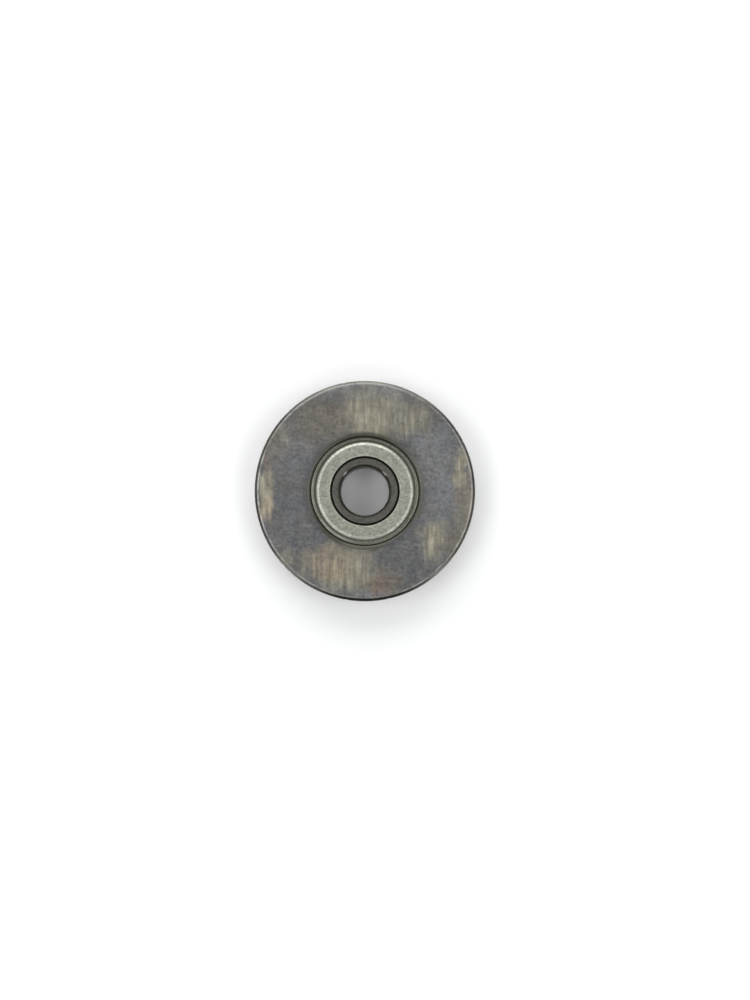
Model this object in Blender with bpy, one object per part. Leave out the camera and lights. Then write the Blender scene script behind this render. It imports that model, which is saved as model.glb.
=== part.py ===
"""Seam roller wheel: a steel roller with rounded rims, on one shielded deep-groove ball bearing.

The wheel lies on its lower face. Its axis is +Z and the origin is the centre of that lower face.
Dimensions are named in millimetres and turned into metres where a mesh is made.
"""

import math

import bmesh
import bpy
from mathutils import Matrix, Vector

MM = 0.001
SEGMENTS = 72  # steps round the axis: a multiple of 4 and of the ball count
FIT_GAP = 0.02  # radial or axial gap between pieces that are pressed or seated together

# Roller
ROLLER_DIAMETER = 45.0
ROLLER_WIDTH = 8.0
RIM_ROUND = 1.0  # radius that blends each flat face into the tread
RIM_STEPS = 5
SEAT_EDGE_WIDTH = 1.2  # the rounded edge that leads from the upper face into the bearing seat
SEAT_EDGE_DEPTH = 0.6
SEAT_STEPS = 4
LIP_DIAMETER = 19.8  # hole through the shoulder that the bearing is pressed against
LIP_EDGE_BREAK = 0.3
BEARING_RECESS = 0.1  # how far the bearing's face lies below the roller's upper face

# Ball bearing, 10 x 22 x 6
BORE_DIAMETER = 10.0
BEARING_DIAMETER = 22.0
BEARING_WIDTH = 6.0
OUTER_CORNER = 0.3
BORE_CORNER = 0.45
CORNER_STEPS = 3
PITCH_RADIUS = 8.0
BALL_DIAMETER = 3.175
BALL_COUNT = 9
INNER_LAND_RADIUS = 7.0
NOTCH_RADIUS = 6.7  # step at each face of the inner ring, which a shield's bore runs round
NOTCH_HEIGHT = 2.5  # from the bearing's mid-plane
NOTCH_BREAK = 0.12
OUTER_LAND_RADIUS = 9.2
RACE_CONFORMITY = 0.52  # groove radius over ball diameter
RACE_CLEARANCE = 0.04
RACE_STEPS = 6

# Shield groove in the outer ring, and the pressed shield that snaps into it
RECESS_RADIUS = 10.3
RECESS_BREAK = 0.1
GROOVE_RADIUS = 10.47
GROOVE_LOW = 2.2  # heights here are from the bearing's mid-plane
GROOVE_HIGH = 2.5
GROOVE_MOUTH = 2.62
SHIELD_BORE_RADIUS = 7.05
SHIELD_TOP = 2.88
SHIELD_THICKNESS = 0.25
SHIELD_SHOULDER = 9.41  # where the flat starts to slope down towards the rim
SHIELD_SLOPE_END = 9.86
SHIELD_SLOPE_DROP = 0.22
SHIELD_WALL = 9.94
SHIELD_FOOT_GAP = 0.05

# Riveted ribbon cage
POCKET_RADIUS = 1.72
CAGE_THICKNESS = 0.3
CAGE_HALF_WIDTH = 0.75
CAGE_SPLIT = 0.01  # half the gap between the two ribbons
POCKET_STEPS = 8
LAND_STEPS = 2
RIVET_RADIUS = 0.3
RIVET_HEAD_RADIUS = 0.45
RIVET_HEAD_HEIGHT = 0.18
RIVET_HEAD_BREAK = 0.1
RIVET_SEGMENTS = 10

# Worked out from the dimensions above
ROLLER_RADIUS = ROLLER_DIAMETER / 2
BALL_RADIUS = BALL_DIAMETER / 2
BEARING_TOP = ROLLER_WIDTH - BEARING_RECESS
BEARING_MIDDLE = BEARING_TOP - BEARING_WIDTH / 2
LIP_TOP = BEARING_TOP - BEARING_WIDTH - FIT_GAP
SEAT_RADIUS = BEARING_DIAMETER / 2 + FIT_GAP
RACE_RADIUS = RACE_CONFORMITY * BALL_DIAMETER
RACE_CENTRE_OFFSET = BALL_RADIUS + RACE_CLEARANCE - RACE_RADIUS
CAGE_OUTER_RADIUS = POCKET_RADIUS + CAGE_THICKNESS
CAGE_TOP = CAGE_SPLIT + CAGE_THICKNESS
BALL_PITCH = 2 * math.pi / BALL_COUNT


def clear_scene():
    for obj in list(bpy.data.objects):
        bpy.data.objects.remove(obj, do_unlink=True)


def material(name, colour, roughness, metallic=1.0):
    made = bpy.data.materials.new(name)
    made.use_nodes = True
    shader = made.node_tree.nodes["Principled BSDF"]
    shader.inputs["Base Color"].default_value = (*colour, 1.0)
    shader.inputs["Roughness"].default_value = roughness
    shader.inputs["Metallic"].default_value = metallic
    return made


def ellipse(centre, across, up, start, end, steps):
    """Points (r, z) on part of an ellipse about centre. Angles are in degrees from the outward direction."""
    angles = [math.radians(start + (end - start) * i / steps) for i in range(steps + 1)]
    return [(centre[0] + across * math.cos(a), centre[1] + up * math.sin(a)) for a in angles]


def arc(centre, radius, start, end, steps):
    """Points (r, z) on an arc about centre."""
    return ellipse(centre, radius, radius, start, end, steps)


def mirrored(upper_half):
    """A profile's upper half, followed by the same points below the mid-plane in reverse order."""
    return upper_half + [(r, -z) for r, z in reversed(upper_half) if abs(z) > 1e-9]


def place(name, bm, finish, parent=None):
    """Makes the object of a bmesh whose coordinates are in millimetres."""
    bmesh.ops.scale(bm, vec=(MM, MM, MM), verts=bm.verts)
    bmesh.ops.recalc_face_normals(bm, faces=bm.faces)
    mesh = bpy.data.meshes.new(name)
    bm.to_mesh(mesh)
    bm.free()
    mesh.shade_smooth()
    mesh.set_sharp_from_angle(angle=math.radians(35))
    mesh.materials.append(finish)
    obj = bpy.data.objects.new(name, mesh)
    bpy.context.scene.collection.objects.link(obj)
    obj.parent = parent
    return obj


def empty(name, parent=None):
    obj = bpy.data.objects.new(name, None)
    bpy.context.scene.collection.objects.link(obj)
    obj.parent = parent
    return obj


def turned(profile, segments=SEGMENTS):
    """A closed (r, z) profile spun once round Z. A stretch that lies on the axis makes no surface."""
    bm = bmesh.new()
    verts = [bm.verts.new((r, 0.0, z)) for r, z in profile]
    pairs = zip(verts, verts[1:] + verts[:1])
    edges = [bm.edges.new((a, b)) for a, b in pairs if max(a.co.x, b.co.x) > 0.0]
    bmesh.ops.spin(
        bm, geom=verts + edges, axis=(0, 0, 1), cent=(0, 0, 0),
        angle=2 * math.pi, steps=segments, use_merge=True,
    )
    bmesh.ops.remove_doubles(bm, verts=bm.verts, dist=1e-5)
    return bm


def roller_profile():
    """Section of the roller: plain tread, rounded rims, bearing seat and the shoulder under it."""
    rim = ROLLER_RADIUS - RIM_ROUND
    seat_edge = (SEAT_RADIUS + SEAT_EDGE_WIDTH, ROLLER_WIDTH - SEAT_EDGE_DEPTH)
    lip = LIP_DIAMETER / 2
    return [
        (lip, LIP_EDGE_BREAK),
        (lip + LIP_EDGE_BREAK, 0.0),
        *arc((rim, RIM_ROUND), RIM_ROUND, -90.0, 0.0, RIM_STEPS),
        *arc((rim, ROLLER_WIDTH - RIM_ROUND), RIM_ROUND, 0.0, 90.0, RIM_STEPS),
        *ellipse(seat_edge, SEAT_EDGE_WIDTH, SEAT_EDGE_DEPTH, 90.0, 180.0, SEAT_STEPS),
        (SEAT_RADIUS, LIP_TOP),
        (lip, LIP_TOP),
    ]


def outer_ring_profile():
    """Section of the outer ring, with a shield groove at each face."""
    half = BEARING_WIDTH / 2
    corner = (BEARING_DIAMETER / 2 - OUTER_CORNER, half - OUTER_CORNER)
    race_centre = PITCH_RADIUS + RACE_CENTRE_OFFSET
    race_angle = math.degrees(math.acos((OUTER_LAND_RADIUS - race_centre) / RACE_RADIUS))
    race = arc((race_centre, 0.0), RACE_RADIUS, 0.0, race_angle, RACE_STEPS // 2)
    return mirrored([
        *race,
        (OUTER_LAND_RADIUS, GROOVE_LOW),
        (GROOVE_RADIUS, GROOVE_LOW),
        (GROOVE_RADIUS, GROOVE_HIGH),
        (RECESS_RADIUS, GROOVE_MOUTH),
        (RECESS_RADIUS, half - RECESS_BREAK),
        (RECESS_RADIUS + RECESS_BREAK, half),
        *arc(corner, OUTER_CORNER, 90.0, 0.0, CORNER_STEPS),
    ])


def inner_ring_profile():
    """Section of the inner ring, with rounded bore edges and a step for each shield."""
    half = BEARING_WIDTH / 2
    corner = (BORE_DIAMETER / 2 + BORE_CORNER, half - BORE_CORNER)
    race_centre = PITCH_RADIUS - RACE_CENTRE_OFFSET
    race_angle = math.degrees(math.acos((race_centre - INNER_LAND_RADIUS) / RACE_RADIUS))
    race = arc((race_centre, 0.0), RACE_RADIUS, 180.0, 180.0 - race_angle, RACE_STEPS // 2)
    return mirrored([
        *race,
        (INNER_LAND_RADIUS, NOTCH_HEIGHT),
        (NOTCH_RADIUS, NOTCH_HEIGHT),
        (NOTCH_RADIUS, half - NOTCH_BREAK),
        (NOTCH_RADIUS - NOTCH_BREAK, half),
        *arc(corner, BORE_CORNER, 90.0, 180.0, CORNER_STEPS),
    ])


def shield_profile(side):
    """Section of a pressed shield: a flat ring whose rim slopes down to a foot in the groove."""
    under = SHIELD_TOP - SHIELD_THICKNESS
    foot_radius = GROOVE_RADIUS - SHIELD_FOOT_GAP
    foot_low = GROOVE_LOW + FIT_GAP
    foot_high = foot_low + SHIELD_THICKNESS
    upper = [
        (SHIELD_BORE_RADIUS, under),
        (SHIELD_BORE_RADIUS, SHIELD_TOP),
        (SHIELD_SHOULDER, SHIELD_TOP),
        (SHIELD_SLOPE_END, SHIELD_TOP - SHIELD_SLOPE_DROP),
        (SHIELD_WALL, foot_high),
        (foot_radius, foot_high),
        (foot_radius, foot_low),
        (SHIELD_WALL - SHIELD_THICKNESS, foot_low),
        (SHIELD_SHOULDER, under),
    ]
    return [(r, side * z) for r, z in upper]


def rivet_profile():
    """Section of a rivet on one side of its own axis, with a head at each end."""
    under_head = CAGE_TOP + FIT_GAP
    head_top = under_head + RIVET_HEAD_HEIGHT
    shank = RIVET_RADIUS - FIT_GAP
    upper = [
        (shank, under_head),
        (RIVET_HEAD_RADIUS, under_head),
        (RIVET_HEAD_RADIUS - RIVET_HEAD_BREAK, head_top),
        (0.0, head_top),
    ]
    return mirrored(upper)


def pocket_point(offset, share, radius, land_height):
    """A point on the sphere of the pocket on +X. share runs from -1 to 1, from land to land."""
    section = math.sqrt(radius**2 - offset**2)
    swing = math.acos(land_height / section) * share
    return Vector((PITCH_RADIUS + offset, section * math.sin(swing), section * math.cos(swing)))


def cage_section(angle, share):
    """One six-point loop across the ribbon, at a pocket whose centre is at the given angle."""
    offsets = (-CAGE_HALF_WIDTH, 0.0, CAGE_HALF_WIDTH)
    lower = [pocket_point(o, share, POCKET_RADIUS, CAGE_SPLIT) for o in offsets]
    upper = [pocket_point(o, share, CAGE_OUTER_RADIUS, CAGE_TOP) for o in reversed(offsets)]
    turn = Matrix.Rotation(angle, 3, "Z")
    return [turn @ point for point in lower + upper]


def between(start, end, share):
    """A loop part of the way round the axis from one loop to the next, with each point's own sweep."""
    loop = []
    for a, b in zip(start, end):
        sweep = (math.atan2(b.y, b.x) - math.atan2(a.y, a.x)) % (2 * math.pi)
        loop.append(Matrix.Rotation(sweep * share, 3, "Z") @ a)
    return loop


def cage_ribbon(side):
    """Half of the cage: a wavy ribbon with a domed pocket over each ball and flat lands between."""
    loops = []
    for ball in range(BALL_COUNT):
        angle = ball * BALL_PITCH
        shares = [2 * i / POCKET_STEPS - 1 for i in range(POCKET_STEPS + 1)]
        loops += [cage_section(angle, share) for share in shares]
        next_start = cage_section(angle + BALL_PITCH, -1.0)
        loops += [between(loops[-1], next_start, i / LAND_STEPS) for i in range(1, LAND_STEPS)]
    bm = bmesh.new()
    rings = [[bm.verts.new((p.x, p.y, side * p.z)) for p in loop] for loop in loops]
    for ring, after in zip(rings, rings[1:] + rings[:1]):
        for i in range(len(ring)):
            j = (i + 1) % len(ring)
            bm.faces.new((ring[i], ring[j], after[j], after[i]))
    return bm


def rivet_places():
    """Centre of each flat land, halfway between two balls."""
    land_start = cage_section(0.0, 1.0)
    radii = [math.hypot(p.x, p.y) for p in land_start]
    radius = (min(radii) + max(radii)) / 2
    angles = [(ball + 0.5) * BALL_PITCH for ball in range(BALL_COUNT)]
    return [(radius * math.cos(a), radius * math.sin(a)) for a in angles]


def rivet_hole_cutter(cage, finish):
    """All the rivet holes as one hidden cutter, taller than the cage's lands."""
    bm = bmesh.new()
    for x, y in rivet_places():
        bmesh.ops.create_cone(
            bm, cap_ends=True, segments=RIVET_SEGMENTS, radius1=RIVET_RADIUS, radius2=RIVET_RADIUS,
            depth=4 * CAGE_TOP, matrix=Matrix.Translation((x, y, 0.0)),
        )
    cutter = place("rivet_hole_cutter", bm, finish, cage)
    cutter.hide_render = True
    cutter.display_type = "WIRE"
    return cutter


def make_roller(finish):
    place("roller_body", turned(roller_profile()), finish)


def make_rings(bearing, finish):
    place("bearing_outer_ring", turned(outer_ring_profile()), finish, bearing)
    place("bearing_inner_ring", turned(inner_ring_profile()), finish, bearing)


def make_shields(bearing, finish):
    place("upper_shield", turned(shield_profile(1)), finish, bearing)
    place("lower_shield", turned(shield_profile(-1)), finish, bearing)


def make_cage(cage, finish):
    cutter = rivet_hole_cutter(cage, finish)
    for name, side in (("upper_cage_ribbon", 1), ("lower_cage_ribbon", -1)):
        ribbon = place(name, cage_ribbon(side), finish, cage)
        holes = ribbon.modifiers.new("rivet_holes", "BOOLEAN")
        holes.operation = "DIFFERENCE"
        holes.solver = "EXACT"
        holes.object = cutter


def make_rivets(cage, finish):
    for number, (x, y) in enumerate(rivet_places(), start=1):
        rivet = place(f"cage_rivet_{number}", turned(rivet_profile(), RIVET_SEGMENTS), finish, cage)
        rivet.location.x = x * MM
        rivet.location.y = y * MM


def make_balls(cage, finish):
    for ball in range(BALL_COUNT):
        bm = bmesh.new()
        bmesh.ops.create_icosphere(bm, subdivisions=3, radius=BALL_RADIUS)
        made = place(f"ball_{ball + 1}", bm, finish, cage)
        made.location.x = PITCH_RADIUS * math.cos(ball * BALL_PITCH) * MM
        made.location.y = PITCH_RADIUS * math.sin(ball * BALL_PITCH) * MM
        made.rotation_euler.z = ball * BALL_PITCH


def main():
    clear_scene()
    blued = material("blued_roller_steel", (0.17, 0.165, 0.155), 0.42)
    ground = material("ground_bearing_steel", (0.30, 0.29, 0.27), 0.3)
    zinc = material("zinc_plated_steel", (0.52, 0.52, 0.46), 0.5)
    pressed = material("cage_steel", (0.45, 0.44, 0.42), 0.4)
    polished = material("polished_ball_steel", (0.62, 0.62, 0.62), 0.08)
    bearing = empty("bearing")
    bearing.location.z = BEARING_MIDDLE * MM
    cage = empty("cage", bearing)
    make_roller(blued)
    make_rings(bearing, ground)
    make_shields(bearing, zinc)
    make_cage(cage, pressed)
    make_rivets(cage, pressed)
    make_balls(cage, polished)


main()
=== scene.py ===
"""Looks of the seam roller wheel: fine turned meshes, worn steel and zinc, a pale table and soft light.

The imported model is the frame. Each piece here is made again at a finer step, round the same sizes, and
rides on the body of the CAD node that it stands for. Sizes are in millimetres, and become metres where a
mesh is made.
"""

import math
import random

import bmesh
import bpy
from mathutils import Matrix, Vector


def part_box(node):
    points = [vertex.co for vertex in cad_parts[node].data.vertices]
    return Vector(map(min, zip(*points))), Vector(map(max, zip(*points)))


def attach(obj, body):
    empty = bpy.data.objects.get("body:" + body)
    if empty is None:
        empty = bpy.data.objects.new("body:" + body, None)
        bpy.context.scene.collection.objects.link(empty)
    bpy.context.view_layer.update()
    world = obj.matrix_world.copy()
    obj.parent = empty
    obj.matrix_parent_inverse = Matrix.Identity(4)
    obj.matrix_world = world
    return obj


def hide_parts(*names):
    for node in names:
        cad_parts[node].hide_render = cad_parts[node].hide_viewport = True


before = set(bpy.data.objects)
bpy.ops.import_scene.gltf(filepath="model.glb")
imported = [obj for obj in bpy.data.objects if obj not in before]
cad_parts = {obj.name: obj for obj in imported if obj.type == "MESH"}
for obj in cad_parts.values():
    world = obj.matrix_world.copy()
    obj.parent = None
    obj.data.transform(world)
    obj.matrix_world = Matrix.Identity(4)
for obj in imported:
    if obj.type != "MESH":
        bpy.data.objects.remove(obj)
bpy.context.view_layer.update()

MM = 0.001
NEAR_ZERO = 1e-6  # a distance below this counts as none
WELD = 1e-5  # points nearer to each other than this become one
SHARP_ANGLE = 40.0  # degrees between two faces above which their edge isn't smoothed


# ----------------------------------------------------------------------------
# Sizes
# ----------------------------------------------------------------------------

def extent(node):
    """A CAD node's outer radius, lowest height and highest height, in millimetres."""
    low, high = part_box(node)
    return high.x / MM, low.z / MM, high.z / MM


ROLLER_RADIUS, _, ROLLER_TOP = extent("roller_body")
RING_RADIUS, RING_LOW, RING_TOP = extent("bearing_outer_ring")
LAND_RADIUS, _, _ = extent("bearing_inner_ring")
MIDDLE = (RING_LOW + RING_TOP) / 2
HALF_WIDTH = (RING_TOP - RING_LOW) / 2
FIT_GAP = 0.02

ROUND_STEPS = 288  # steps round the axis on the bearing's pieces
ROLLER_STEPS = 720  # finer, because its rims have small nicks
CORNER_STEPS = 4  # steps on a small broken edge
RACE_STEPS = 10

RIM_ROUND = 1.0
SEAT_EDGE_WIDTH = 1.2
SEAT_EDGE_DEPTH = 0.6
LIP_RADIUS = 9.9
LIP_BREAK = 0.3
FACE_RADII = (20.0, 18.0, 16.0, 14.0)  # extra rings of points across the flat faces
RIM_STEPS = 14
SEAT_EDGE_STEPS = 12
TREAD_STEPS = 12

NICK_COUNT = 46
NICK_SEED = 7
NICK_HALF_LENGTH = (0.15, 0.5)
NICK_DEPTH = (0.02, 0.07)

BORE_RADIUS = 5.0
BORE_CORNER = 0.45
OUTER_CORNER = 0.3
NOTCH_RADIUS = 6.7  # the step at each face of the inner ring, which a shield's bore runs round
NOTCH_HEIGHT = 2.5
NOTCH_BREAK = 0.08
PITCH_RADIUS = 8.0
BALL_RADIUS = 1.5875
BALL_COUNT = 9
BALL_STEPS = 48
BALL_PITCH = 2 * math.pi / BALL_COUNT
RACE_RADIUS = 1.651
RACE_OFFSET = -0.0235  # how far each raceway's centre lies off the pitch circle
OUTER_LAND = 9.2

RECESS_RADIUS = 10.3
RECESS_BREAK = 0.1
GROOVE_RADIUS = 10.47
GROOVE_LOW = 2.2
GROOVE_HIGH = 2.5
GROOVE_MOUTH = 2.62

SHIELD_BORE = 7.05
SHIELD_TOP = 2.88
SHIELD_THICKNESS = 0.25
SHIELD_EDGE_ROUND = 0.12
SHIELD_SHOULDER = 9.3  # where the flat starts to fall towards the rim
SHIELD_SHOULDER_ROUND = 0.5
SHIELD_SLOPE = 26.0  # degrees
SHIELD_SLOPE_END = 9.86
SHIELD_RIM_ROUND = 0.15
SHIELD_FOOT = 10.42

POCKET_RADIUS = 1.72
CAGE_THICKNESS = 0.3
CAGE_HALF_WIDTH = 0.75
CAGE_SPLIT = 0.01
CAGE_TOP = CAGE_SPLIT + CAGE_THICKNESS
POCKET_STEPS = 16
LAND_STEPS = 4
STRIP_STEPS = 3  # steps from the ribbon's middle to each edge
RIVET_RADIUS = 0.3
RIVET_HEAD_RADIUS = 0.45
RIVET_HEAD_HEIGHT = 0.18
RIVET_STEPS = 24


# ----------------------------------------------------------------------------
# Profiles
# ----------------------------------------------------------------------------

def ellipse(centre, across, up, start, end, steps):
    """Points (r, z) on a stretch of an ellipse. Angles are in degrees from the outward direction."""
    angles = [math.radians(start + (end - start) * i / steps) for i in range(steps + 1)]
    return [(centre[0] + across * math.cos(a), centre[1] + up * math.sin(a)) for a in angles]


def arc(centre, radius, start, end, steps):
    """Points (r, z) on an arc about centre."""
    return ellipse(centre, radius, radius, start, end, steps)


def mirrored(upper_half):
    """A profile's upper half, followed by the same points below the mid-plane in reverse order."""
    return upper_half + [(r, -z) for r, z in reversed(upper_half) if abs(z) > NEAR_ZERO]


def roller_profile():
    """Section of the roller, with rounded rims and a rounded edge to the bearing seat."""
    rim = ROLLER_RADIUS - RIM_ROUND
    seat = RING_RADIUS + FIT_GAP
    lip_top = RING_LOW - FIT_GAP
    seat_edge = (seat + SEAT_EDGE_WIDTH, ROLLER_TOP - SEAT_EDGE_DEPTH)
    tread_step = (ROLLER_TOP - 2 * RIM_ROUND) / TREAD_STEPS
    return [
        *arc((LIP_RADIUS + LIP_BREAK, LIP_BREAK), LIP_BREAK, 180.0, 270.0, CORNER_STEPS),
        *[(r, 0.0) for r in reversed(FACE_RADII)],
        *arc((rim, RIM_ROUND), RIM_ROUND, -90.0, 0.0, RIM_STEPS),
        *[(ROLLER_RADIUS, RIM_ROUND + i * tread_step) for i in range(1, TREAD_STEPS)],
        *arc((rim, ROLLER_TOP - RIM_ROUND), RIM_ROUND, 0.0, 90.0, RIM_STEPS),
        *[(r, ROLLER_TOP) for r in FACE_RADII],
        *ellipse(seat_edge, SEAT_EDGE_WIDTH, SEAT_EDGE_DEPTH, 90.0, 180.0, SEAT_EDGE_STEPS),
        (seat, lip_top),
        (LIP_RADIUS, lip_top),
    ]


def outer_ring_profile():
    """Section of the outer ring about the bearing's mid-plane."""
    corner = (RING_RADIUS - OUTER_CORNER, HALF_WIDTH - OUTER_CORNER)
    centre = PITCH_RADIUS + RACE_OFFSET
    race_angle = math.degrees(math.acos((OUTER_LAND - centre) / RACE_RADIUS))
    recess = (RECESS_RADIUS + RECESS_BREAK, HALF_WIDTH - RECESS_BREAK)
    return mirrored([
        *arc((centre, 0.0), RACE_RADIUS, 0.0, race_angle, RACE_STEPS),
        (OUTER_LAND, GROOVE_LOW),
        (GROOVE_RADIUS, GROOVE_LOW),
        (GROOVE_RADIUS, GROOVE_HIGH),
        (RECESS_RADIUS, GROOVE_MOUTH),
        *arc(recess, RECESS_BREAK, 180.0, 90.0, CORNER_STEPS),
        *arc(corner, OUTER_CORNER, 90.0, 0.0, 6),
    ])


def inner_ring_profile():
    """Section of the inner ring about the bearing's mid-plane."""
    corner = (BORE_RADIUS + BORE_CORNER, HALF_WIDTH - BORE_CORNER)
    centre = PITCH_RADIUS - RACE_OFFSET
    race_angle = math.degrees(math.acos((centre - LAND_RADIUS) / RACE_RADIUS))
    notch_edge = (NOTCH_RADIUS - NOTCH_BREAK, HALF_WIDTH - NOTCH_BREAK)
    return mirrored([
        *arc((centre, 0.0), RACE_RADIUS, 180.0, 180.0 - race_angle, RACE_STEPS),
        (LAND_RADIUS, NOTCH_HEIGHT),
        (NOTCH_RADIUS, NOTCH_HEIGHT),
        *arc(notch_edge, NOTCH_BREAK, 0.0, 90.0, CORNER_STEPS),
        *arc(corner, BORE_CORNER, 90.0, 180.0, 8),
    ])


def shield_profile(side):
    """Section of a pressed shield: rounded bore edge, flat, slope, and a foot in the ring's groove."""
    under = SHIELD_TOP - SHIELD_THICKNESS
    slope = math.radians(SHIELD_SLOPE)
    edge = (SHIELD_BORE + SHIELD_EDGE_ROUND, SHIELD_TOP - SHIELD_EDGE_ROUND)
    shoulder_centre = (SHIELD_SHOULDER, SHIELD_TOP - SHIELD_SHOULDER_ROUND)
    shoulder = arc(shoulder_centre, SHIELD_SHOULDER_ROUND, 90.0, 90.0 - SHIELD_SLOPE, 5)
    bend_radius, bend_height = shoulder[-1]
    slope_end = bend_height - (SHIELD_SLOPE_END - bend_radius) * math.tan(slope)
    rim_radius = SHIELD_SLOPE_END - SHIELD_RIM_ROUND * math.sin(slope)
    rim = (rim_radius, slope_end - SHIELD_RIM_ROUND * math.cos(slope))
    foot_low = GROOVE_LOW + FIT_GAP
    foot_high = foot_low + SHIELD_THICKNESS
    upper = [
        (SHIELD_BORE, under),
        *arc(edge, SHIELD_EDGE_ROUND, 180.0, 90.0, 5),
        *shoulder,
        *arc(rim, SHIELD_RIM_ROUND, 90.0 - SHIELD_SLOPE, 0.0, 6),
        (rim_radius + SHIELD_RIM_ROUND, foot_high),
        (SHIELD_FOOT, foot_high),
        (SHIELD_FOOT, foot_low),
        (rim_radius - SHIELD_RIM_ROUND, foot_low),
        (SHIELD_SHOULDER, under),
    ]
    return [(r, side * z) for r, z in upper]


def rivet_profile():
    """Section of a rivet on one side of its own axis, with a domed head at each end."""
    under_head = CAGE_TOP + FIT_GAP
    return mirrored([
        (RIVET_RADIUS - FIT_GAP, under_head),
        *ellipse((0.0, under_head), RIVET_HEAD_RADIUS, RIVET_HEAD_HEIGHT, 0.0, 90.0, 8),
    ])


# ----------------------------------------------------------------------------
# Meshes
# ----------------------------------------------------------------------------

def turned(profile, steps=ROUND_STEPS, centre=(0.0, 0.0, MIDDLE)):
    """A closed (r, z) profile spun once round the vertical line through centre."""
    bm = bmesh.new()
    verts = [bm.verts.new((r, 0.0, z)) for r, z in profile]
    pairs = zip(verts, verts[1:] + verts[:1])
    edges = [bm.edges.new(pair) for pair in pairs if max(pair[0].co.x, pair[1].co.x) > NEAR_ZERO]
    bmesh.ops.spin(
        bm, geom=verts + edges, axis=(0, 0, 1), cent=(0, 0, 0),
        angle=2 * math.pi, steps=steps, use_merge=True,
    )
    bmesh.ops.remove_doubles(bm, verts=bm.verts, dist=WELD)
    bmesh.ops.translate(bm, vec=centre, verts=bm.verts)
    return bm


def mesh_from(bm, name):
    """The mesh of a bmesh in millimetres."""
    bmesh.ops.scale(bm, vec=(MM, MM, MM), verts=bm.verts)
    bmesh.ops.recalc_face_normals(bm, faces=bm.faces)
    mesh = bpy.data.meshes.new(name)
    bm.to_mesh(mesh)
    bm.free()
    return mesh


def linked(name, data):
    """A new object in the scene, made from a mesh, a lamp or a camera."""
    made = bpy.data.objects.new(name, data)
    bpy.context.scene.collection.objects.link(made)
    return made


def piece(name, mesh, finish, node, body):
    """Puts a mesh in place of a CAD node, on the body that the node belongs to."""
    mesh.shade_smooth()
    mesh.set_sharp_from_angle(angle=math.radians(SHARP_ANGLE))
    mesh.materials.clear()
    mesh.materials.append(finish)
    made = linked(name, mesh)
    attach(made, body)
    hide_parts(node)


def pocket_point(offset, share, radius, land_height):
    """A point on the sphere of the pocket on +X. share runs from -1 to 1, from land to land."""
    section = math.sqrt(radius**2 - offset**2)
    swing = math.acos(land_height / section) * share
    return Vector((PITCH_RADIUS + offset, section * math.sin(swing), section * math.cos(swing)))


def cage_section(angle, share):
    """One loop of points across the ribbon, at a pocket whose centre is at the given angle."""
    offsets = [CAGE_HALF_WIDTH * i / STRIP_STEPS for i in range(-STRIP_STEPS, STRIP_STEPS + 1)]
    lower = [pocket_point(o, share, POCKET_RADIUS, CAGE_SPLIT) for o in offsets]
    upper = [pocket_point(o, share, POCKET_RADIUS + CAGE_THICKNESS, CAGE_TOP) for o in reversed(offsets)]
    turn = Matrix.Rotation(angle, 3, "Z")
    return [turn @ point for point in lower + upper]


def between(start, end, share):
    """A loop part of the way round the axis from one loop to the next, with each point's own sweep."""
    loop = []
    for a, b in zip(start, end):
        sweep = (math.atan2(b.y, b.x) - math.atan2(a.y, a.x)) % (2 * math.pi)
        loop.append(Matrix.Rotation(sweep * share, 3, "Z") @ a)
    return loop


def cage_ribbon(side):
    """Half of the cage: a wavy ribbon with a domed pocket over each ball and flat lands between."""
    loops = []
    for ball in range(BALL_COUNT):
        angle = ball * BALL_PITCH
        shares = [2 * i / POCKET_STEPS - 1 for i in range(POCKET_STEPS + 1)]
        loops += [cage_section(angle, share) for share in shares]
        next_start = cage_section(angle + BALL_PITCH, -1.0)
        last = loops[-1]
        loops += [between(last, next_start, i / LAND_STEPS) for i in range(1, LAND_STEPS)]
    bm = bmesh.new()
    rings = [[bm.verts.new((p.x, p.y, side * p.z + MIDDLE)) for p in loop] for loop in loops]
    for ring, after in zip(rings, rings[1:] + rings[:1]):
        for i in range(len(ring)):
            j = (i + 1) % len(ring)
            bm.faces.new((ring[i], ring[j], after[j], after[i]))
    return bm


def rivet_places():
    """Centre of each flat land, halfway between two balls."""
    radii = [math.hypot(p.x, p.y) for p in cage_section(0.0, 1.0)]
    radius = (min(radii) + max(radii)) / 2
    angles = [(ball + 0.5) * BALL_PITCH for ball in range(BALL_COUNT)]
    return [(radius * math.cos(a), radius * math.sin(a)) for a in angles]


def rivet_holes():
    """All the rivet holes as one mesh, taller than the cage's lands."""
    bm = bmesh.new()
    for x, y in rivet_places():
        bmesh.ops.create_cone(
            bm, cap_ends=True, segments=RIVET_STEPS, radius1=RIVET_RADIUS, radius2=RIVET_RADIUS,
            depth=4 * CAGE_TOP, matrix=Matrix.Translation((x, y, MIDDLE)),
        )
    return bm


def cut(mesh, cutter_mesh):
    """The mesh that is left when the cutter is taken out of the first one."""
    blank = linked("blank", mesh)
    cutter = linked("cutter", cutter_mesh)
    holes = blank.modifiers.new("holes", "BOOLEAN")
    holes.operation = "DIFFERENCE"
    holes.solver = "EXACT"
    holes.object = cutter
    solved = blank.evaluated_get(bpy.context.evaluated_depsgraph_get())
    result = bpy.data.meshes.new_from_object(solved)
    bpy.data.objects.remove(blank, do_unlink=True)
    bpy.data.objects.remove(cutter, do_unlink=True)
    return result


# ----------------------------------------------------------------------------
# Material nodes
# ----------------------------------------------------------------------------

PATCH_FADE = (0.4, 1.25)  # where a patch starts to fade and is gone, in its own half widths


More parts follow.
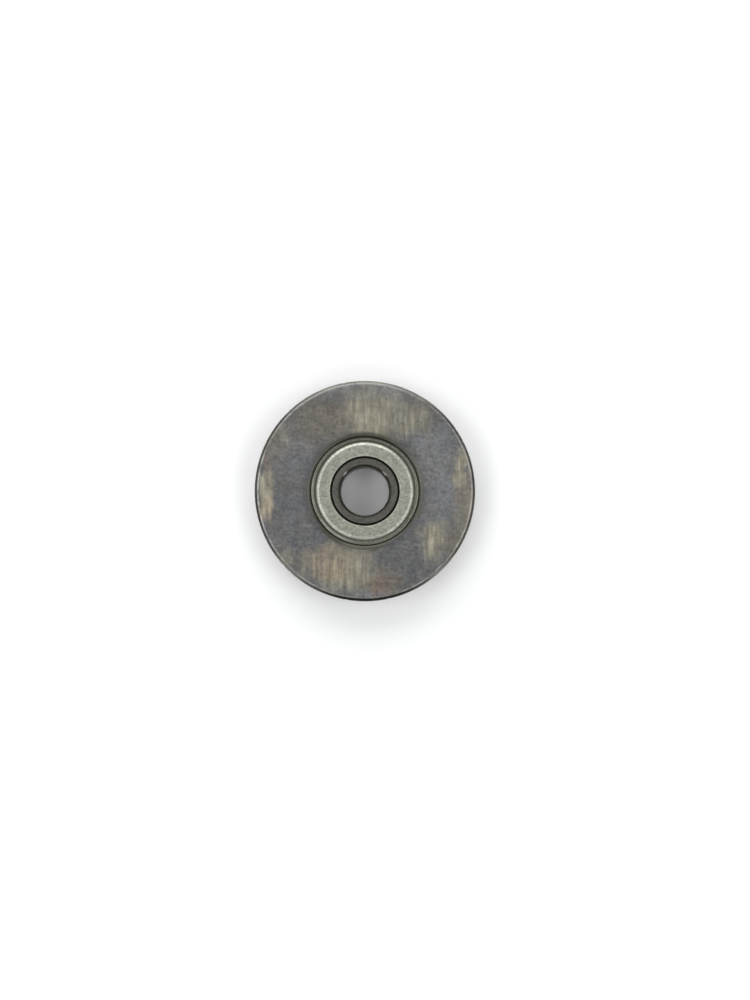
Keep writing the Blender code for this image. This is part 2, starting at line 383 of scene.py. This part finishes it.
class Finish:
    """A material's node tree, with a short call for each kind of node. Coordinates are in millimetres."""

    def __init__(self, name, metallic=1.0):
        self.material = bpy.data.materials.new(name)
        self.material.use_nodes = True
        self.nodes = self.material.node_tree.nodes
        self.shader = self.nodes["Principled BSDF"]
        self.shader.inputs["Metallic"].default_value = metallic
        coordinates = self.nodes.new("ShaderNodeTexCoord").outputs["Object"]
        self.place = self.scaled(coordinates, (1 / MM, 1 / MM, 1 / MM))
        parts = self.nodes.new("ShaderNodeSeparateXYZ")
        self.feed(self.place, parts.inputs[0])
        self.x, self.y, self.z = parts.outputs
        self.radius = self.length(self.scaled(self.place, (1.0, 1.0, 0.0)))

    def feed(self, value, socket):
        """Links an output to an input, or sets the input to a number or a tuple."""
        if isinstance(value, bpy.types.NodeSocket):
            self.material.node_tree.links.new(value, socket)
        elif isinstance(value, tuple) and len(value) < len(socket.default_value):
            socket.default_value = (*value, 1.0)
        else:
            socket.default_value = value

    def math(self, operation, a, b=0.0):
        node = self.nodes.new("ShaderNodeMath")
        node.operation = operation
        self.feed(a, node.inputs[0])
        self.feed(b, node.inputs[1])
        return node.outputs[0]

    def sum(self, a, b):
        return self.math("ADD", a, b)

    def product(self, a, b):
        return self.math("MULTIPLY", a, b)

    def larger(self, a, b):
        return self.math("MAXIMUM", a, b)

    def vector(self, operation, a, b):
        node = self.nodes.new("ShaderNodeVectorMath")
        node.operation = operation
        self.feed(a, node.inputs[0])
        self.feed(b, node.inputs[1])
        return node.outputs[0]

    def scaled(self, vector, scale):
        return self.vector("MULTIPLY", vector, scale)

    def moved(self, vector, offset):
        return self.vector("ADD", vector, offset)

    def length(self, vector):
        node = self.nodes.new("ShaderNodeVectorMath")
        node.operation = "LENGTH"
        self.feed(vector, node.inputs[0])
        return node.outputs["Value"]

    def combined(self, x, y, z):
        node = self.nodes.new("ShaderNodeCombineXYZ")
        for value, socket in zip((x, y, z), node.inputs):
            self.feed(value, socket)
        return node.outputs[0]

    def rotated(self, vector, degrees):
        node = self.nodes.new("ShaderNodeVectorRotate")
        node.rotation_type = "Z_AXIS"
        self.feed(vector, node.inputs["Vector"])
        node.inputs["Angle"].default_value = math.radians(degrees)
        return node.outputs[0]

    def noise(self, vector, scale=1.0, detail=3.0, roughness=0.55, output="Fac"):
        """Noise from 0 to 1, with about scale features a millimetre."""
        node = self.nodes.new("ShaderNodeTexNoise")
        self.feed(vector, node.inputs["Vector"])
        node.inputs["Scale"].default_value = scale
        node.inputs["Detail"].default_value = detail
        node.inputs["Roughness"].default_value = roughness
        return node.outputs[output]

    def step(self, value, low, high, to_low=0.0, to_high=1.0):
        """A smooth step from to_low at low to to_high at high."""
        node = self.nodes.new("ShaderNodeMapRange")
        node.interpolation_type = "SMOOTHSTEP"
        self.feed(value, node.inputs["Value"])
        node.inputs["From Min"].default_value = low
        node.inputs["From Max"].default_value = high
        node.inputs["To Min"].default_value = to_low
        node.inputs["To Max"].default_value = to_high
        return node.outputs["Result"]

    def spread(self, value, low, high):
        """Stretches the middle of a noise's range over low to high."""
        return self.step(value, 0.3, 0.7, low, high)

    def band(self, value, low, high, soft):
        """1 between low and high, falling to 0 over soft on each side."""
        rising = self.step(value, low - soft, low)
        return self.product(rising, self.step(value, high, high + soft, 1.0, 0.0))

    def mix(self, share, a, b):
        """Goes from colour a to colour b as share goes from 0 to 1."""
        node = self.nodes.new("ShaderNodeMix")
        node.data_type = "RGBA"  # its colours are inputs 6 and 7 and output 2
        self.feed(share, node.inputs[0])
        self.feed(a, node.inputs[6])
        self.feed(b, node.inputs[7])
        return node.outputs[2]

    def blend(self, share, a, b):
        """Goes from number a to number b as share goes from 0 to 1."""
        node = self.nodes.new("ShaderNodeMix")
        self.feed(share, node.inputs[0])
        self.feed(a, node.inputs[2])
        self.feed(b, node.inputs[3])
        return node.outputs[0]

    def shaded(self, colour, *shades):
        """A colour times some shades that lie near 1."""
        for shade in shades:
            node = self.nodes.new("ShaderNodeVectorMath")
            node.operation = "SCALE"
            self.feed(colour, node.inputs[0])
            self.feed(shade, node.inputs["Scale"])
            colour = node.outputs[0]
        return colour

    def bump(self, height, rise, under=None):
        """A bump that stands rise millimetres out where height is 1, over another bump."""
        node = self.nodes.new("ShaderNodeBump")
        node.inputs["Strength"].default_value = 1.0
        node.inputs["Distance"].default_value = rise * MM
        self.feed(height, node.inputs["Height"])
        if under is not None:
            self.feed(under, node.inputs["Normal"])
        return node.outputs[0]

    def finish(self, colour, roughness, normal=None):
        self.feed(colour, self.shader.inputs["Base Color"])
        self.feed(roughness, self.shader.inputs["Roughness"])
        if normal is not None:
            self.feed(normal, self.shader.inputs["Normal"])
        return self.material

    def turning_marks(self, pitch):
        """Noise in fine rings, on flat faces and round walls alike, with pitch lines a millimetre."""
        across = self.sum(self.product(self.radius, pitch), self.product(self.z, pitch * 0.8))
        slow_x = self.product(self.x, 0.12)
        slow_y = self.product(self.y, 0.12)
        return self.noise(self.combined(across, slow_x, slow_y), 1.0, 2.0)

    def patches(self, place, blobs):
        """Soft ragged spots. Each blob is x, y, half width, half height and strength."""
        total = 0.0
        for x, y, half_width, half_height, strength in blobs:
            offset = self.scaled(self.moved(place, (-x, -y, 0.0)), (1 / half_width, 1 / half_height, 0.0))
            spot = self.step(self.length(offset), *PATCH_FADE, strength, 0.0)
            total = self.larger(total, spot)
        return total


# ----------------------------------------------------------------------------
# Materials
# ----------------------------------------------------------------------------

# Each row: x, y, half width, half height and strength, in plan.
WORN_PATCHES = (
    (1.6, 15.8, 6.8, 6.0, 0.95),
    (8.0, 14.6, 5.2, 4.4, 0.8),
    (-0.6, 13.4, 1.0, 2.8, 0.6),
    (-4.0, -16.0, 7.0, 5.2, 1.0),
    (-9.4, -14.8, 3.8, 3.2, 0.75),
    (-6.4, -12.2, 2.8, 1.8, 0.6),
    (14.0, -9.9, 3.1, 4.9, 1.05),
    (19.5, 4.4, 1.7, 4.8, 1.1),
    (20.4, -2.6, 1.3, 5.6, 0.3),
    (19.2, -8.0, 1.4, 4.0, 0.25),
    (-20.0, -0.6, 1.7, 5.8, 1.15),
    (-17.0, 12.0, 1.8, 2.6, 0.3),
    (-15.4, -13.2, 1.2, 2.6, 0.3),
)
BROWN_PATCHES = (
    (-8.0, 14.2, 8.0, 5.4, 0.9),
    (-18.2, 9.6, 3.4, 4.4, 0.6),
    (13.0, 16.0, 4.4, 3.4, 0.5),
    (3.6, 12.6, 7.0, 2.4, 0.6),
    (20.0, -3.4, 2.2, 5.6, 0.9),
    (18.8, -10.4, 3.0, 5.0, 0.9),
    (-2.4, -12.2, 8.0, 1.8, 0.6),
    (-16.6, -14.0, 5.0, 3.0, 0.6),
    (4.0, -18.4, 4.8, 2.6, 0.9),
)
RED_PATCHES = (
    (-6.6, 16.4, 2.6, 1.4, 0.6),
    (-19.8, 5.6, 1.0, 1.8, 0.9),
    (2.8, -19.2, 2.6, 1.2, 0.7),
    (0.6, -13.4, 1.0, 0.8, 0.6),
    (20.6, 6.2, 0.9, 1.6, 0.7),
    (10.4, 16.8, 1.6, 1.0, 0.5),
)
PALE_PATCHES = (
    (15.0, 3.0, 7.0, 10.0, 0.9),
    (13.2, 9.4, 4.6, 4.2, 1.0),
    (-14.0, 7.0, 5.0, 5.0, 0.5),
    (0.0, 20.8, 11.0, 2.2, 1.0),
    (1.0, -20.6, 8.0, 1.2, 0.8),
)
GRIME_PATCHES = (
    (-6.6, -9.0, 4.6, 3.0, 1.0),
    (0.0, 11.4, 7.0, 1.6, 0.7),
    (2.0, -12.0, 8.0, 2.6, 0.8),
    (12.0, -2.0, 2.6, 8.0, 0.7),
)
WARM_PATCHES = (
    (-7.6, -14.8, 5.4, 4.0, 0.9),
    (-20.0, -4.6, 2.0, 4.0, 0.7),
    (21.2, 0.0, 0.9, 8.0, 0.6),
    (3.0, -19.0, 4.0, 2.0, 0.8),
)
STREAK_PATCHES = (
    (-0.7, 14.2, 0.40, 3.4, 1.0),
    (-2.8, 16.4, 0.30, 2.4, 0.5),
    (4.6, 16.0, 0.45, 2.8, 0.7),
    (-16.1, -5.0, 0.16, 1.9, 0.9),
    (-7.4, -14.6, 0.35, 3.4, 0.5),
    (-10.2, -15.0, 0.30, 2.6, 0.5),
    (13.2, -9.4, 0.40, 4.0, 0.5),
    (14.8, -8.8, 0.40, 3.4, 0.5),
    (-19.5, -2.4, 0.40, 3.0, 0.9),
)
# Painted shade: the tread and the outer part of the rims are made darker, most at the front (-Y), a little
# at the sides.
RIM_SHADE_PATCHES = (
    (1.0, -23.0, 13.0, 6.0, 1.0),
    (23.0, -1.0, 4.0, 9.0, 0.25),
    (-23.0, -1.0, 3.0, 8.0, 0.15),
)
# Painted highlight: the rims and the tread are made lighter on the sides that face the lamps, at +Y and at
# the two front corners.
RIM_HIGHLIGHT_PATCHES = (
    (2.0, 22.0, 19.0, 9.0, 1.0),
    (-15.6, -15.6, 4.0, 4.0, 0.9),
    (15.6, -15.6, 4.0, 4.0, 0.7),
)
# Painted highlights, partly wear, on the outer ring's corner and two spots on the bore's corner.
RING_RUB_AND_HIGHLIGHT_PATCHES = (
    (-6.6, -8.2, 5.0, 3.4, 1.0),
    (-10.6, 0.0, 1.6, 5.0, 0.35),
    (-4.0, 3.5, 0.8, 0.6, 1.0),
    (4.2, 3.6, 0.8, 0.6, 1.0),
)
# Grime and painted shade round the outer ring's edge, darkest on the +Y side.
RING_GRIME_AND_SHADE_PATCHES = (
    (0.0, 12.0, 11.0, 7.0, 1.0),
    (-11.0, 0.0, 4.0, 7.0, 0.2),
)

GREY_STEEL = (0.166, 0.163, 0.157)
BLUED_STEEL = (0.148, 0.1545, 0.163)
BROWN_STEEL = (0.192, 0.177, 0.152)
RED_STEEL = (0.205, 0.168, 0.147)
WORN_STEEL = (0.314, 0.295, 0.229)
# The thin bright line round the rims: partly worn metal, partly a painted highlight.
BARE_STEEL_AND_HIGHLIGHT = (0.33, 0.32, 0.30)
ROLLED_STEEL = (0.30, 0.29, 0.265)
BLACK_STEEL = (0.070, 0.067, 0.056)
OLIVE_GRIME = (0.085, 0.085, 0.064)
# Painted light: a pale colour deep in the seat's crevice, which lifts the crevice's shade.
PALE_LIP_LIGHT = (0.30, 0.30, 0.24)
WARM_TINT = (1.07, 0.97, 0.93)

OUTER_RING_STEEL = (0.196, 0.196, 0.160)
INNER_RING_STEEL = (0.137, 0.131, 0.116)
RUBBED_STEEL_HIGHLIGHT = (0.44, 0.44, 0.39)
OIL_AND_PAINTED_SHADE = (0.034, 0.033, 0.024)
# Painted shade: black for the gap between the shields and the inner ring.
GAP_SHADE_BLACK = (0.014, 0.014, 0.010)

ZINC = (0.318, 0.322, 0.268)
RUBBED_ZINC_HIGHLIGHT = (0.500, 0.505, 0.437)
SHADED_ZINC = (0.130, 0.132, 0.100)

CAGE_STRIP = (0.42, 0.41, 0.39)
POLISHED_STEEL = (0.62, 0.62, 0.61)
BALL_GREASE = (0.060, 0.055, 0.038)
TABLE_WHITE = (0.93, 0.93, 0.925)

# Radii between which a look lies, or over which it fades in.
# The first two pairs are painted shade round the bearing seat.
SEAT_SHADE = (11.2, 13.4)
SEAT_RING_SHADE = (11.45, 11.85)
GRIME_RING = (10.9, 11.5)
GRIME_SPOTS = (10.9, 11.7)
LIP_FADE = (11.22, 11.10)
# Where the thin bright rim line lies: partly edge wear, partly a painted highlight.
RIM_LINE_AND_HIGHLIGHT = (21.64, 21.78)
TREAD_FADE = (21.90, 22.10)
ROLLED_BAND = (2.2, 5.8)  # heights above the table

BORE_WALL_SHADE = (5.3, 5.55)
BORE_CORNER_HIGHLIGHT = (5.30, 5.46)
NOTCH_GAP = (6.64, 9.6)
BETWEEN_RINGS = (8.0, 8.2)
SHIELD_GROOVE_SHADE = (9.8, 10.30)
RECESS_HIGHLIGHT = (10.44, 10.74)
RING_EDGE = (10.52, 10.86)

SHIELD_BORE_SHADE = (7.14, 7.06)
SHIELD_BORE_HIGHLIGHT = (7.2, 7.6)
SHIELD_SLOPE_HIGHLIGHT = (9.2, 9.42)
SHIELD_FOOT_SHADE = (9.92, 10.0)
BALL_TRACK = (0.35, 0.7)  # heights above and below the bearing's middle

UNDERSIDE_TURN = 135.0  # degrees that the face's wear is turned by on the underside
SIDE_BLEND = 0.1  # how far from the middle height the two sides' wear blends
DRIFT = 5.0  # how far noise moves the edges of stains


class RollerSteel(Finish):
    """Blued steel with a worn, brushed face. The underside has the same wear, turned round."""

    def __init__(self):
        super().__init__("roller_steel")
        middle = ROLLER_TOP / 2
        self.over = self.step(self.z, middle - SIDE_BLEND, middle + SIDE_BLEND)
        self.place = self.mix(self.over, self.rotated(self.place, UNDERSIDE_TURN), self.place)
        wander = self.moved(self.noise(self.place, 0.35, 3.0, output="Color"), (-0.5, -0.5, -0.5))
        self.drifted = self.moved(self.place, self.scaled(wander, (DRIFT, DRIFT, 0.0)))
        self.blotches = self.noise(self.place, 0.55, 4.0, 0.6)
        self.mottle = self.noise(self.place, 1.5, 5.0, 0.65)
        self.long_streaks = self.stretched_noise(0.0, (1.05, 0.12, 1.0), 4.0)
        self.brushing = self.stretched_noise(8.0, (0.3, 1.8, 1.0), 3.0)
        self.scratches = self.stretched_noise(-52.0, (0.16, 3.4, 1.0), 2.0)
        self.marks = self.turning_marks(6.0)
        self.streaked = self.blend(self.patches(self.place, STREAK_PATCHES), 1.0, 1.2)
        # Painted highlight on the rims and the tread, where they face the lamps.
        self.rim_highlight = self.patches(self.place, RIM_HIGHLIGHT_PATCHES)

    def stretched_noise(self, degrees, scale, detail):
        """Noise drawn out into lines that lie at an angle to the X or Y axis."""
        return self.noise(self.scaled(self.rotated(self.place, degrees), scale), 1.0, detail)

    def stained(self):
        """The colour of unworn steel, with brown and red stains, pale clouds, specks and scratches."""
        cloud = self.noise(self.place, 0.22, 4.0)
        specks = self.noise(self.place, 2.2, 2.0)
        colour = self.mix(self.spread(cloud, 0.0, 1.0), GREY_STEEL, BLUED_STEEL)
        colour = self.mix(self.patches(self.drifted, BROWN_PATCHES), colour, BROWN_STEEL)
        colour = self.mix(self.product(self.patches(self.drifted, RED_PATCHES), 0.6), colour, RED_STEEL)
        return self.shaded(
            colour,
            self.blend(self.patches(self.drifted, PALE_PATCHES), 1.0, 1.34),
            self.streaked,
            self.spread(self.blotches, 0.86, 1.14),
            self.spread(self.mottle, 0.84, 1.16),
            self.spread(self.brushing, 0.93, 1.07),
            self.step(specks, 0.30, 0.25, 1.0, 0.7),
            self.step(self.scratches, 0.62, 0.72, 1.0, 1.2),
            self.step(self.scratches, 0.28, 0.36, 0.86, 1.0),
        )

    def rubbed_tan(self):
        """The colour of worn steel, with long streaks."""
        fine_streaks = self.stretched_noise(0.0, (3.3, 0.26, 1.0), 2.0)
        return self.shaded(
            WORN_STEEL,
            self.streaked,
            self.spread(self.blotches, 0.86, 1.14),
            self.spread(self.long_streaks, 0.80, 1.18),
            self.spread(fine_streaks, 0.90, 1.10),
            self.spread(self.mottle, 0.91, 1.09),
        )

    def seat_edge(self, colour):
        """Adds painted shade towards the bearing seat, the grime of its edge, and a pale lip that is
        painted light, lifting the shade deep in the crevice.
        """
        # Painted shade, darker towards the bearing seat.
        colour = self.shaded(colour, self.step(self.radius, *SEAT_SHADE, 0.76, 1.0))
        ring = self.product(self.band(self.radius, *GRIME_RING, 0.7), self.spread(self.blotches, 0.35, 0.8))
        spots = self.patches(self.place, GRIME_PATCHES)
        spots = self.product(spots, self.band(self.radius, *GRIME_SPOTS, 0.5))
        grime = self.product(self.larger(ring, spots), self.over)
        colour = self.mix(grime, colour, OLIVE_GRIME)
        # More painted shade just outside the seat's edge.
        colour = self.shaded(colour, self.step(self.radius, *SEAT_RING_SHADE, 0.82, 1.0))
        # Painted light: the deep part of the seat's crevice is made pale, which lifts its shade.
        lip = self.product(self.step(self.radius, *LIP_FADE), self.over)
        return self.mix(self.product(lip, 0.85), colour, PALE_LIP_LIGHT)

    def rim_line_and_highlight(self):
        """The share of the thin bright line round both rims: partly edge wear, partly a painted highlight
        where the rounded rim catches the light. The line lies further in, and is a little weaker, where the
        painted rim highlight is.
        """
        chatter = self.noise(self.place, 0.7, 3.0)
        radius = self.sum(self.radius, self.product(self.rim_highlight, 0.12))
        line = self.product(self.band(radius, *RIM_LINE_AND_HIGHLIGHT, 0.10), self.spread(chatter, 0.0, 1.0))
        return self.product(line, self.blend(self.rim_highlight, 1.0, 0.85))

    def rolled_band(self):
        """The share of the band that rolling has worn bright, round the middle of the tread."""
        uneven = self.noise(self.scaled(self.place, (0.35, 0.35, 0.9)), 1.0, 4.0)
        return self.product(self.band(self.z, *ROLLED_BAND, 1.2), self.spread(uneven, 0.45, 0.9))

    def tread(self, rim_shade, rolled):
        """The colour of the tread: dark, darker still under the rims' painted shade, lighter under their
        painted highlight, with the rolled band round it.
        """
        colour = self.shaded(BLACK_STEEL, self.blend(rim_shade, 1.0, 0.25), self.blend(self.rim_highlight, 1.0, 3.3))
        colour = self.mix(rolled, colour, ROLLED_STEEL)
        ringed = self.spread(self.marks, 0.80, 1.20)
        return self.shaded(colour, ringed, self.spread(self.mottle, 0.92, 1.08))

    def complete(self):
        """The whole material: the face, then the seat's edge, the rims and the tread over it."""
        jagged = self.combined(0.0, self.spread(self.long_streaks, -0.5, 0.5), 0.0)
        worn = self.patches(self.moved(self.drifted, jagged), WORN_PATCHES)
        tan_share = self.product(worn, self.spread(self.long_streaks, 0.80, 0.98))
        colour = self.mix(tan_share, self.stained(), self.rubbed_tan())
        warm = self.patches(self.drifted, WARM_PATCHES)
        colour = self.mix(warm, colour, self.scaled(colour, WARM_TINT))
        colour = self.seat_edge(colour)

        line_wear_and_highlight = self.rim_line_and_highlight()
        rolled = self.rolled_band()
        # Painted shade on the tread and rims; where it lies, the dark tread colour also starts a little
        # further in.
        rim_shade = self.patches(self.place, RIM_SHADE_PATCHES)
        on_tread = self.step(self.sum(self.radius, self.product(rim_shade, 0.16)), *TREAD_FADE)
        # Painted highlight, partly edge wear: the thin bright line round the rims.
        colour = self.mix(line_wear_and_highlight, colour, BARE_STEEL_AND_HIGHLIGHT)
        colour = self.mix(on_tread, colour, self.tread(rim_shade, rolled))

        dull = self.spread(self.mottle, 0.36, 0.46)
        roughness = self.blend(worn, dull, self.spread(self.long_streaks, 0.40, 0.52))
        roughness = self.blend(self.larger(line_wear_and_highlight, rolled), roughness, 0.36)
        normal = self.bump(self.blend(worn, self.brushing, self.long_streaks), 0.015)
        normal = self.bump(self.blend(on_tread, self.scratches, self.marks), 0.012, normal)
        return self.finish(colour, roughness, normal)


def bearing_steel():
    """Dull ground steel with fine turning marks; dark oil and painted shade in the bore and the shield
    groove, painted shade in the gap under the shields, grime and painted shade round the outer ring's edge,
    and painted highlights, partly wear, on the outer ring's corner and the bore's corner.
    """
    look = Finish("bearing_steel")
    radius = look.radius
    marks = look.turning_marks(7.0)
    mottle = look.noise(look.place, 1.8, 4.0, 0.6)
    patchy = look.spread(look.noise(look.place, 0.35, 3.0), 0.1, 0.7)
    inner = look.step(radius, *BETWEEN_RINGS, 1.0, 0.0)
    colour = look.mix(inner, OUTER_RING_STEEL, INNER_RING_STEEL)

    # Painted shade, partly oil, on the bore's wall and corner.
    bore = look.step(radius, *BORE_WALL_SHADE, 1.0, 0.0)
    # Painted shade in the groove by the shield's rim.
    groove = look.product(look.band(radius, *SHIELD_GROOVE_SHADE, 0.05), 0.4)
    # Grime and painted shade on the outer ring's edge, strongest on the +Y side.
    grime_and_shade = look.larger(look.product(patchy, 0.2), look.patches(look.place, RING_GRIME_AND_SHADE_PATCHES))
    edge = look.product(look.step(radius, *RING_EDGE), grime_and_shade)
    colour = look.mix(look.larger(look.larger(bore, groove), edge), colour, OIL_AND_PAINTED_SHADE)
    # Painted shade: black in the gap between the shields and the inner ring.
    colour = look.mix(look.band(radius, *NOTCH_GAP, 0.04), colour, GAP_SHADE_BLACK)

    # Painted highlights, partly wear, on the outer ring's corner and the bore's corner.
    bright = look.larger(look.band(radius, *RECESS_HIGHLIGHT, 0.08), look.band(radius, *BORE_CORNER_HIGHLIGHT, 0.08))
    rub_and_highlight = look.product(look.patches(look.place, RING_RUB_AND_HIGHLIGHT_PATCHES), bright)
    colour = look.mix(look.product(rub_and_highlight, 0.7), colour, RUBBED_STEEL_HIGHLIGHT)
    colour = look.shaded(colour, look.spread(marks, 0.84, 1.16), look.spread(mottle, 0.88, 1.12))
    normal = look.bump(mottle, 0.004, look.bump(marks, 0.008))
    return look.finish(colour, look.spread(mottle, 0.28, 0.40), normal)


def shield_zinc():
    """Dull zinc plate with a fine grain; painted highlights, partly wear, on the slope and round the bore,
    and painted shade at the foot and the bore's edge.
    """
    look = Finish("shield_zinc")
    radius = look.radius
    grain = look.noise(look.place, 2.4, 5.0, 0.8)
    pits = look.noise(look.place, 3.4, 2.0)
    cloud = look.noise(look.place, 0.6, 3.0)
    # Painted highlight, partly wear, on the shield's slope and round its bore.
    bore_highlight = look.step(radius, *SHIELD_BORE_HIGHLIGHT, 0.35, 0.0)
    rub_and_highlight = look.larger(look.step(radius, *SHIELD_SLOPE_HIGHLIGHT), bore_highlight)
    shade = look.larger(look.step(radius, *SHIELD_FOOT_SHADE), look.step(radius, *SHIELD_BORE_SHADE))
    colour = look.shaded(
        look.mix(rub_and_highlight, ZINC, RUBBED_ZINC_HIGHLIGHT),
        look.spread(grain, 0.68, 1.32),
        look.step(pits, 0.38, 0.28, 1.0, 0.66),
        look.spread(cloud, 0.92, 1.08),
    )
    colour = look.mix(shade, colour, SHADED_ZINC)
    roughness = look.blend(rub_and_highlight, look.spread(grain, 0.44, 0.58), 0.46)
    return look.finish(colour, roughness, look.bump(grain, 0.015))


def cage_steel():
    """Pale pressed steel strip with a soft drawn grain."""
    look = Finish("cage_steel")
    grain = look.noise(look.scaled(look.place, (1.0, 1.0, 3.0)), 2.0, 4.0)
    colour = look.shaded(CAGE_STRIP, look.spread(grain, 0.85, 1.15))
    return look.finish(colour, look.spread(grain, 0.3, 0.42), look.bump(grain, 0.006))


def ball_steel():
    """Polished chrome steel, dark with grease everywhere but round the rolling track."""
    look = Finish("ball_steel")
    film = look.noise(look.place, 1.2, 3.0)
    off_middle = look.math("ABSOLUTE", look.sum(look.z, -MIDDLE))
    greased = look.product(look.step(off_middle, *BALL_TRACK), look.spread(film, 0.8, 1.0))
    colour = look.mix(greased, POLISHED_STEEL, BALL_GREASE)
    return look.finish(colour, look.blend(greased, 0.08, 0.45))


def table_top():
    """A matt white table, very slightly uneven in tone."""
    look = Finish("table_top", metallic=0.0)
    look.shader.inputs["Specular IOR Level"].default_value = 0.1
    mottle = look.noise(look.place, 0.02, 2.0)
    return look.finish(look.shaded(TABLE_WHITE, look.spread(mottle, 0.99, 1.0)), 0.7)


# ----------------------------------------------------------------------------
# Stage, light and camera
# ----------------------------------------------------------------------------

VIEW_DISTANCE = 150.0  # from the lens to the roller's upper face
VIEW_LENGTH = 202.8  # how much of the upper face's plane the frame's long side takes in
LENS_PLACE = (1.2, -6.8)  # where the lens stands over the face, from the axis
FRAME_CENTRE = (2.06, -1.84)  # the point of the upper face's plane at the frame's centre
SENSOR = 36.0
CLIP_START = 0.01  # metres
FLOOR_HALF = 3.0  # metres
ROOM_COLOUR = (0.97, 0.985, 1.0, 1.0)
ROOM_STRENGTH = 0.60

# Each lamp: name, bearing from +X and elevation in degrees, distance, width and height in metres, watts.
LAMPS = (
    ("key", 98.0, 36.0, 1.4, 1.6, 0.8, 10.0),
    ("left_fill", 182.0, 54.0, 1.4, 0.7, 0.5, 3.6),
    ("right_fill", -2.0, 54.0, 1.4, 0.7, 0.5, 3.0),
    ("front_left", 232.0, 42.0, 1.4, 0.5, 0.4, 1.3),
    ("front_right", 308.0, 42.0, 1.4, 0.5, 0.4, 1.3),
)


def make_floor():
    """A wide table top at the height of the roller's lower face."""
    bm = bmesh.new()
    bmesh.ops.create_grid(bm, x_segments=1, y_segments=1, size=FLOOR_HALF / MM)
    mesh = mesh_from(bm, "table")
    mesh.materials.append(table_top())
    linked("table", mesh)


def make_room():
    """A pale, even room."""
    world = bpy.data.worlds.new("room")
    bpy.context.scene.world = world
    world.use_nodes = True
    background = world.node_tree.nodes["Background"]
    background.inputs["Color"].default_value = ROOM_COLOUR
    background.inputs["Strength"].default_value = ROOM_STRENGTH


def make_lamp(name, bearing, elevation, distance, width, height, power):
    """A soft rectangular lamp that faces the origin."""
    data = bpy.data.lights.new(name, "AREA")
    data.shape = "RECTANGLE"
    data.size = width
    data.size_y = height
    data.energy = power
    across = math.radians(bearing)
    up = math.radians(elevation)
    towards = Vector((math.cos(up) * math.cos(across), math.cos(up) * math.sin(across), math.sin(up)))
    lamp = linked(name, data)
    lamp.location = towards * distance
    lamp.rotation_euler = towards.to_track_quat("Z", "Y").to_euler()


def make_camera():
    """A camera that looks straight down, with its lens shifted so that the part is near the middle."""
    data = bpy.data.cameras.new("camera")
    data.sensor_width = SENSOR
    data.lens = SENSOR * VIEW_DISTANCE / VIEW_LENGTH
    data.clip_start = CLIP_START
    camera = linked("camera", data)
    camera.location = (LENS_PLACE[0] * MM, LENS_PLACE[1] * MM, (ROLLER_TOP + VIEW_DISTANCE) * MM)
    data.shift_x = (FRAME_CENTRE[0] - LENS_PLACE[0]) / VIEW_LENGTH
    data.shift_y = (FRAME_CENTRE[1] - LENS_PLACE[1]) / VIEW_LENGTH
    bpy.context.scene.camera = camera
    bpy.context.scene.view_settings.view_transform = "Standard"


# ----------------------------------------------------------------------------
# Pieces
# ----------------------------------------------------------------------------

def nick_rims(bm):
    """Small dents along both rims, each a few tenths of a millimetre long and some hundredths deep."""
    dice = random.Random(NICK_SEED)
    nicks = []
    for _ in range(NICK_COUNT):
        centre = dice.uniform(-math.pi, math.pi)
        nicks.append((centre, dice.uniform(*NICK_HALF_LENGTH), dice.uniform(*NICK_DEPTH)))
    for vert in bm.verts:
        radius = math.hypot(vert.co.x, vert.co.y)
        near_face = min(vert.co.z, ROLLER_TOP - vert.co.z) < RIM_ROUND
        if not near_face or radius <= ROLLER_RADIUS - RIM_ROUND:
            continue
        bearing = math.atan2(vert.co.y, vert.co.x)
        side = 1 if vert.co.z > ROLLER_TOP / 2 else 0
        for number, (centre, half, depth) in enumerate(nicks):
            away = abs(math.remainder(bearing - centre, 2 * math.pi)) * radius / half
            if number % 2 == side and away < 1:
                vert.co.xy *= 1 - depth * (1 - away * away) / radius


def make_roller(finish):
    bm = turned(roller_profile(), ROLLER_STEPS, (0.0, 0.0, 0.0))
    nick_rims(bm)
    piece("roller", mesh_from(bm, "roller"), finish, "roller_body", "roller")


def make_rings(finish):
    outer = mesh_from(turned(outer_ring_profile()), "outer_ring")
    inner = mesh_from(turned(inner_ring_profile()), "inner_ring")
    piece("outer_ring", outer, finish, "bearing_outer_ring", "roller")
    piece("inner_ring", inner, finish, "bearing_inner_ring", "inner_ring")


def make_shields(finish):
    for name, node, side in (("shield_up", "upper_shield", 1), ("shield_down", "lower_shield", -1)):
        mesh = mesh_from(turned(shield_profile(side)), name)
        piece(name, mesh, finish, node, "roller")


def make_cage(finish):
    ribbons = (("ribbon_up", "upper_cage_ribbon", 1), ("ribbon_down", "lower_cage_ribbon", -1))
    for name, node, side in ribbons:
        blank = mesh_from(cage_ribbon(side), "blank")
        holes = mesh_from(rivet_holes(), "holes")
        piece(name, cut(blank, holes), finish, node, "cage")
    for number, (x, y) in enumerate(rivet_places(), start=1):
        mesh = mesh_from(turned(rivet_profile(), RIVET_STEPS, (x, y, MIDDLE)), "rivet")
        piece(f"rivet_{number}", mesh, finish, f"cage_rivet_{number}", "cage")


def make_balls(finish):
    for number in range(1, BALL_COUNT + 1):
        low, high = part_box(f"ball_{number}")
        bm = bmesh.new()
        bmesh.ops.create_uvsphere(
            bm, u_segments=BALL_STEPS, v_segments=BALL_STEPS // 2, radius=BALL_RADIUS,
            matrix=Matrix.Translation((low + high) / 2 / MM),
        )
        mesh = mesh_from(bm, "bearing_ball")
        piece(f"bearing_ball_{number}", mesh, finish, f"ball_{number}", f"ball_{number}")


def main():
    make_camera()
    make_floor()
    make_room()
    for lamp in LAMPS:
        make_lamp(*lamp)
    make_roller(RollerSteel().complete())
    make_rings(bearing_steel())
    make_shields(shield_zinc())
    make_cage(cage_steel())
    make_balls(ball_steel())


main()
